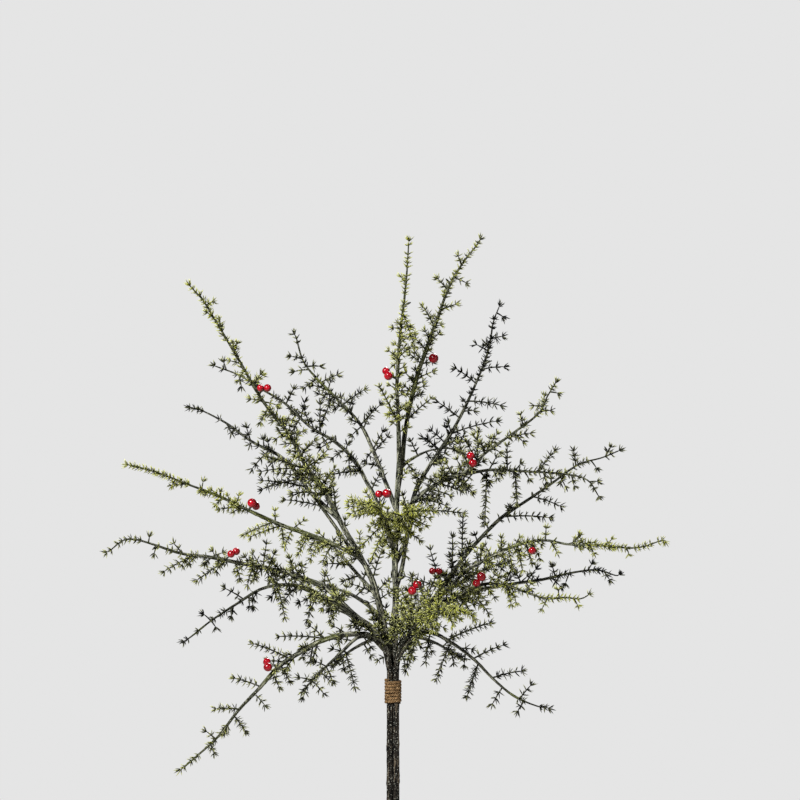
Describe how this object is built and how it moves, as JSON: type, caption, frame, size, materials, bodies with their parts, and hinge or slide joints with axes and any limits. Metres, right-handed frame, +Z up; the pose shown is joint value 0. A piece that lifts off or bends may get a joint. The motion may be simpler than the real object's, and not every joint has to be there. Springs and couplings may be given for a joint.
{
  "type": "yew branches with berries in a vase",
  "caption": "Upright bunch of thin yew branches with needle whorls and red berries, tied with twine and standing in a narrow-necked vase.",
  "frame": {"origin": "centre of the vase's flat underside, on the surface it stands on", "axes": "+Z up along the vase's axis and the tied stems, -Y towards the side that the picture shows, +X to the right of that side"},
  "size_m": [0.5689, 0.3653, 0.782],
  "materials": {
    "yew": "thin grey-green twigs and olive to yellow-green needles, black-brown bark on the bare stems",
    "berry": "smooth deep red, glossy",
    "jute": "twisted tan jute twine, matte and hairy",
    "vase": "off-white satin glaze, unglazed foot"
  },
  "bodies": {
    "root": {"leafy_stem_left_high": "yew", "leafy_stem_left_low": "yew", "leafy_stem_middle": "yew", "leafy_stem_right": "yew", "berry_01": "berry", "berry_02": "berry", "berry_03": "berry", "berry_04": "berry", "berry_05": "berry", "berry_06": "berry", "berry_07": "berry", "berry_08": "berry", "berry_09": "berry", "berry_10": "berry", "berry_11": "berry", "berry_12": "berry", "berry_13": "berry", "berry_14": "berry", "berry_15": "berry", "jute_tie": "jute", "vase": "vase"}
  },
  "joints": []
}
